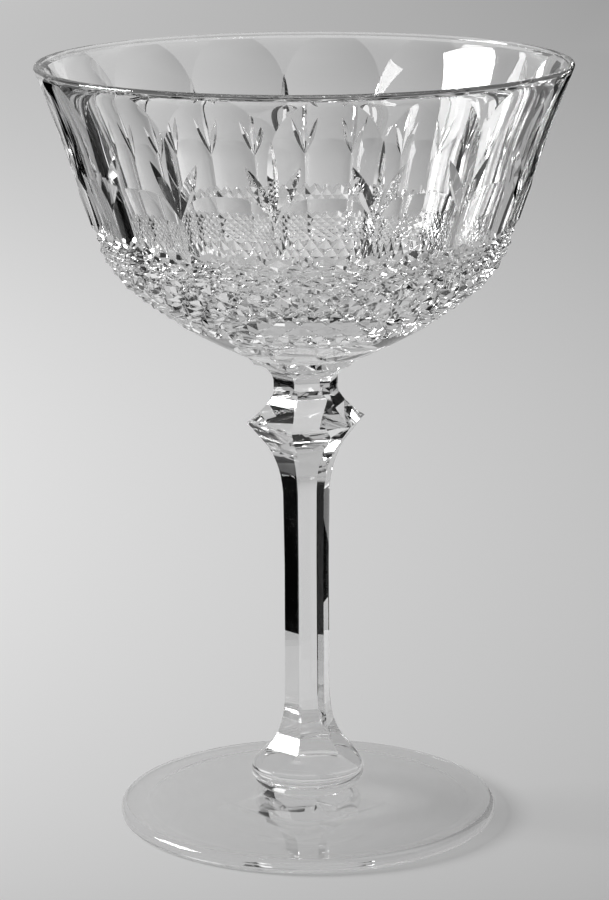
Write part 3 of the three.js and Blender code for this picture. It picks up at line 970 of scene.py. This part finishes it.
bent = add_node(tree, "ShaderNodeMath", TO_THE_POWER, _0=back, _1=GLOW_BEND).outputs[0]
back_glow = add_node(tree, "ShaderNodeMath", TIMES, _0=bent, _1=side).outputs[0]
strength = add_node(tree, "ShaderNodeMath", LARGER, _0=back_glow, _1=away_glow).outputs[0]
glow = add_node(tree, "ShaderNodeEmission", Color=srgb("#ffffff"), Strength=strength)
seen = add_node(tree, "ShaderNodeMixShader", _0=direct_view(tree), _2=glow.outputs["Emission"])
both = add_node(tree, "ShaderNodeAddShader", _0=paint.outputs["BSDF"], _1=seen.outputs["Shader"])
add_node(tree, "ShaderNodeOutputMaterial", Surface=both.outputs["Shader"])
table.data.materials.append(table_top)
print("the table top has", len(tree.nodes), "nodes")

# %% [markdown]
# ## Cards around the glass
# A photographer draws the edges of clear glass with black cards, and here they do the same. A facet
# that bends the view sideways meets a card and turns black. One stands behind on the right and one in
# front on the right, both out of the picture, and two lie on the table on the left. They are covered
# with black velvet, which has no shine that could turn the reflection grey. Far behind stands a board
# that is no lamp but glows white by itself, so a facet that meets it turns white: a painted reflection.
# Darker glass would be dark everywhere, and cards make it dark only where the real one is. The cards
# and the board are hidden from the camera and throw no shadow.

# %% Make a card
velvet, tree = empty_material("black velvet card")
dark = add_node(tree, "ShaderNodeBsdfDiffuse", Color=srgb("#050505"))
add_node(tree, "ShaderNodeOutputMaterial", Surface=dark.outputs["BSDF"])

# The board is no lamp but glows white by itself, so the facets that see it get painted white
# reflections.
board, tree = empty_material("glowing white board for painted reflections")
bright = add_node(tree, "ShaderNodeEmission", Color=srgb("#ffffff"), Strength=1.0)
add_node(tree, "ShaderNodeOutputMaterial", Surface=bright.outputs["Emission"])


def card(name, corners, material):
    sheet = make_mesh(name, [tuple(corner) for corner in corners], [(0, 1, 2, 3)])
    sheet.data.materials.append(material)
    sheet.visible_camera = False
    sheet.visible_diffuse = False
    sheet.visible_shadow = False
    print(name, [[round(value) for value in corner] for corner in corners])


# %% Stand and lay the cards
def standing_card(name, azimuth, distance, width, height, material):
    middle = Vector(around(distance, math.radians(azimuth), 0))
    along = Vector((-middle.y, middle.x, 0)).normalized() * width / 2
    rise = Vector((0, 0, height))
    card(name, [middle - along, middle + along, middle + along + rise, middle - along + rise], material)


def lying_card(name, left, right, near, far, material):
    card(name, [(left, near, 0), (right, near, 0), (right, far, 0), (left, far, 0)], material)


standing_card("black card behind", azimuth=136, distance=122, width=66, height=170, material=velvet)
standing_card("black card in front", azimuth=42, distance=108, width=68, height=200, material=velvet)
# The glowing board paints white reflections on the facets that look past the cards.
standing_card("glowing board behind for painted reflections", azimuth=156, distance=480, width=90, height=250, material=board)
lying_card("black card on the left", left=-600, right=-118, near=-110, far=110, material=velvet)
lying_card("black card behind left", left=-600, right=-95, near=110, far=450, material=velvet)

# %% [markdown]
# ## Window and room
# One window high on the left lights the table and gives the white reflections on the glass. It is a
# rectangle of light, since a reflection shows the shape of its lamp. The room around is pale where the
# glass looks at it and dim as a light, so that it doesn't wash out the shadow of the foot.

# %% Hang the window and set the room
def window(name, place, target, width, height, power):
    light = bpy.data.lights.new(name, "AREA")
    light.shape = "RECTANGLE"
    light.size = width * MM
    light.size_y = height * MM
    light.energy = power
    lamp = bpy.data.objects.new(name, light)
    bpy.context.scene.collection.objects.link(lamp)
    lamp.location = Vector(place) * MM
    aim = Vector(target) * MM - lamp.location
    lamp.rotation_euler = aim.to_track_quat("-Z", "Y").to_euler()
    print(name, round(aim.length, 2), "m away,", power, "W")


window("left window", place=(-898, 63, 515), target=(0, 0, 80), width=480, height=400, power=14.3)

world = bpy.data.worlds.new("pale room")
bpy.context.scene.world = world
world.use_nodes = True
tree = world.node_tree
tree.nodes.clear()
walls = {"_6": srgb("#202020"), "_7": srgb("#b6b6b6")}
room = add_node(tree, "ShaderNodeMix", {"data_type": "RGBA"}, Factor=direct_view(tree), **walls)
sky = add_node(tree, "ShaderNodeBackground", Color=room.outputs[2])
add_node(tree, "ShaderNodeOutputWorld", Surface=sky.outputs["Background"])
bpy.context.scene.view_settings.view_transform = "Standard"
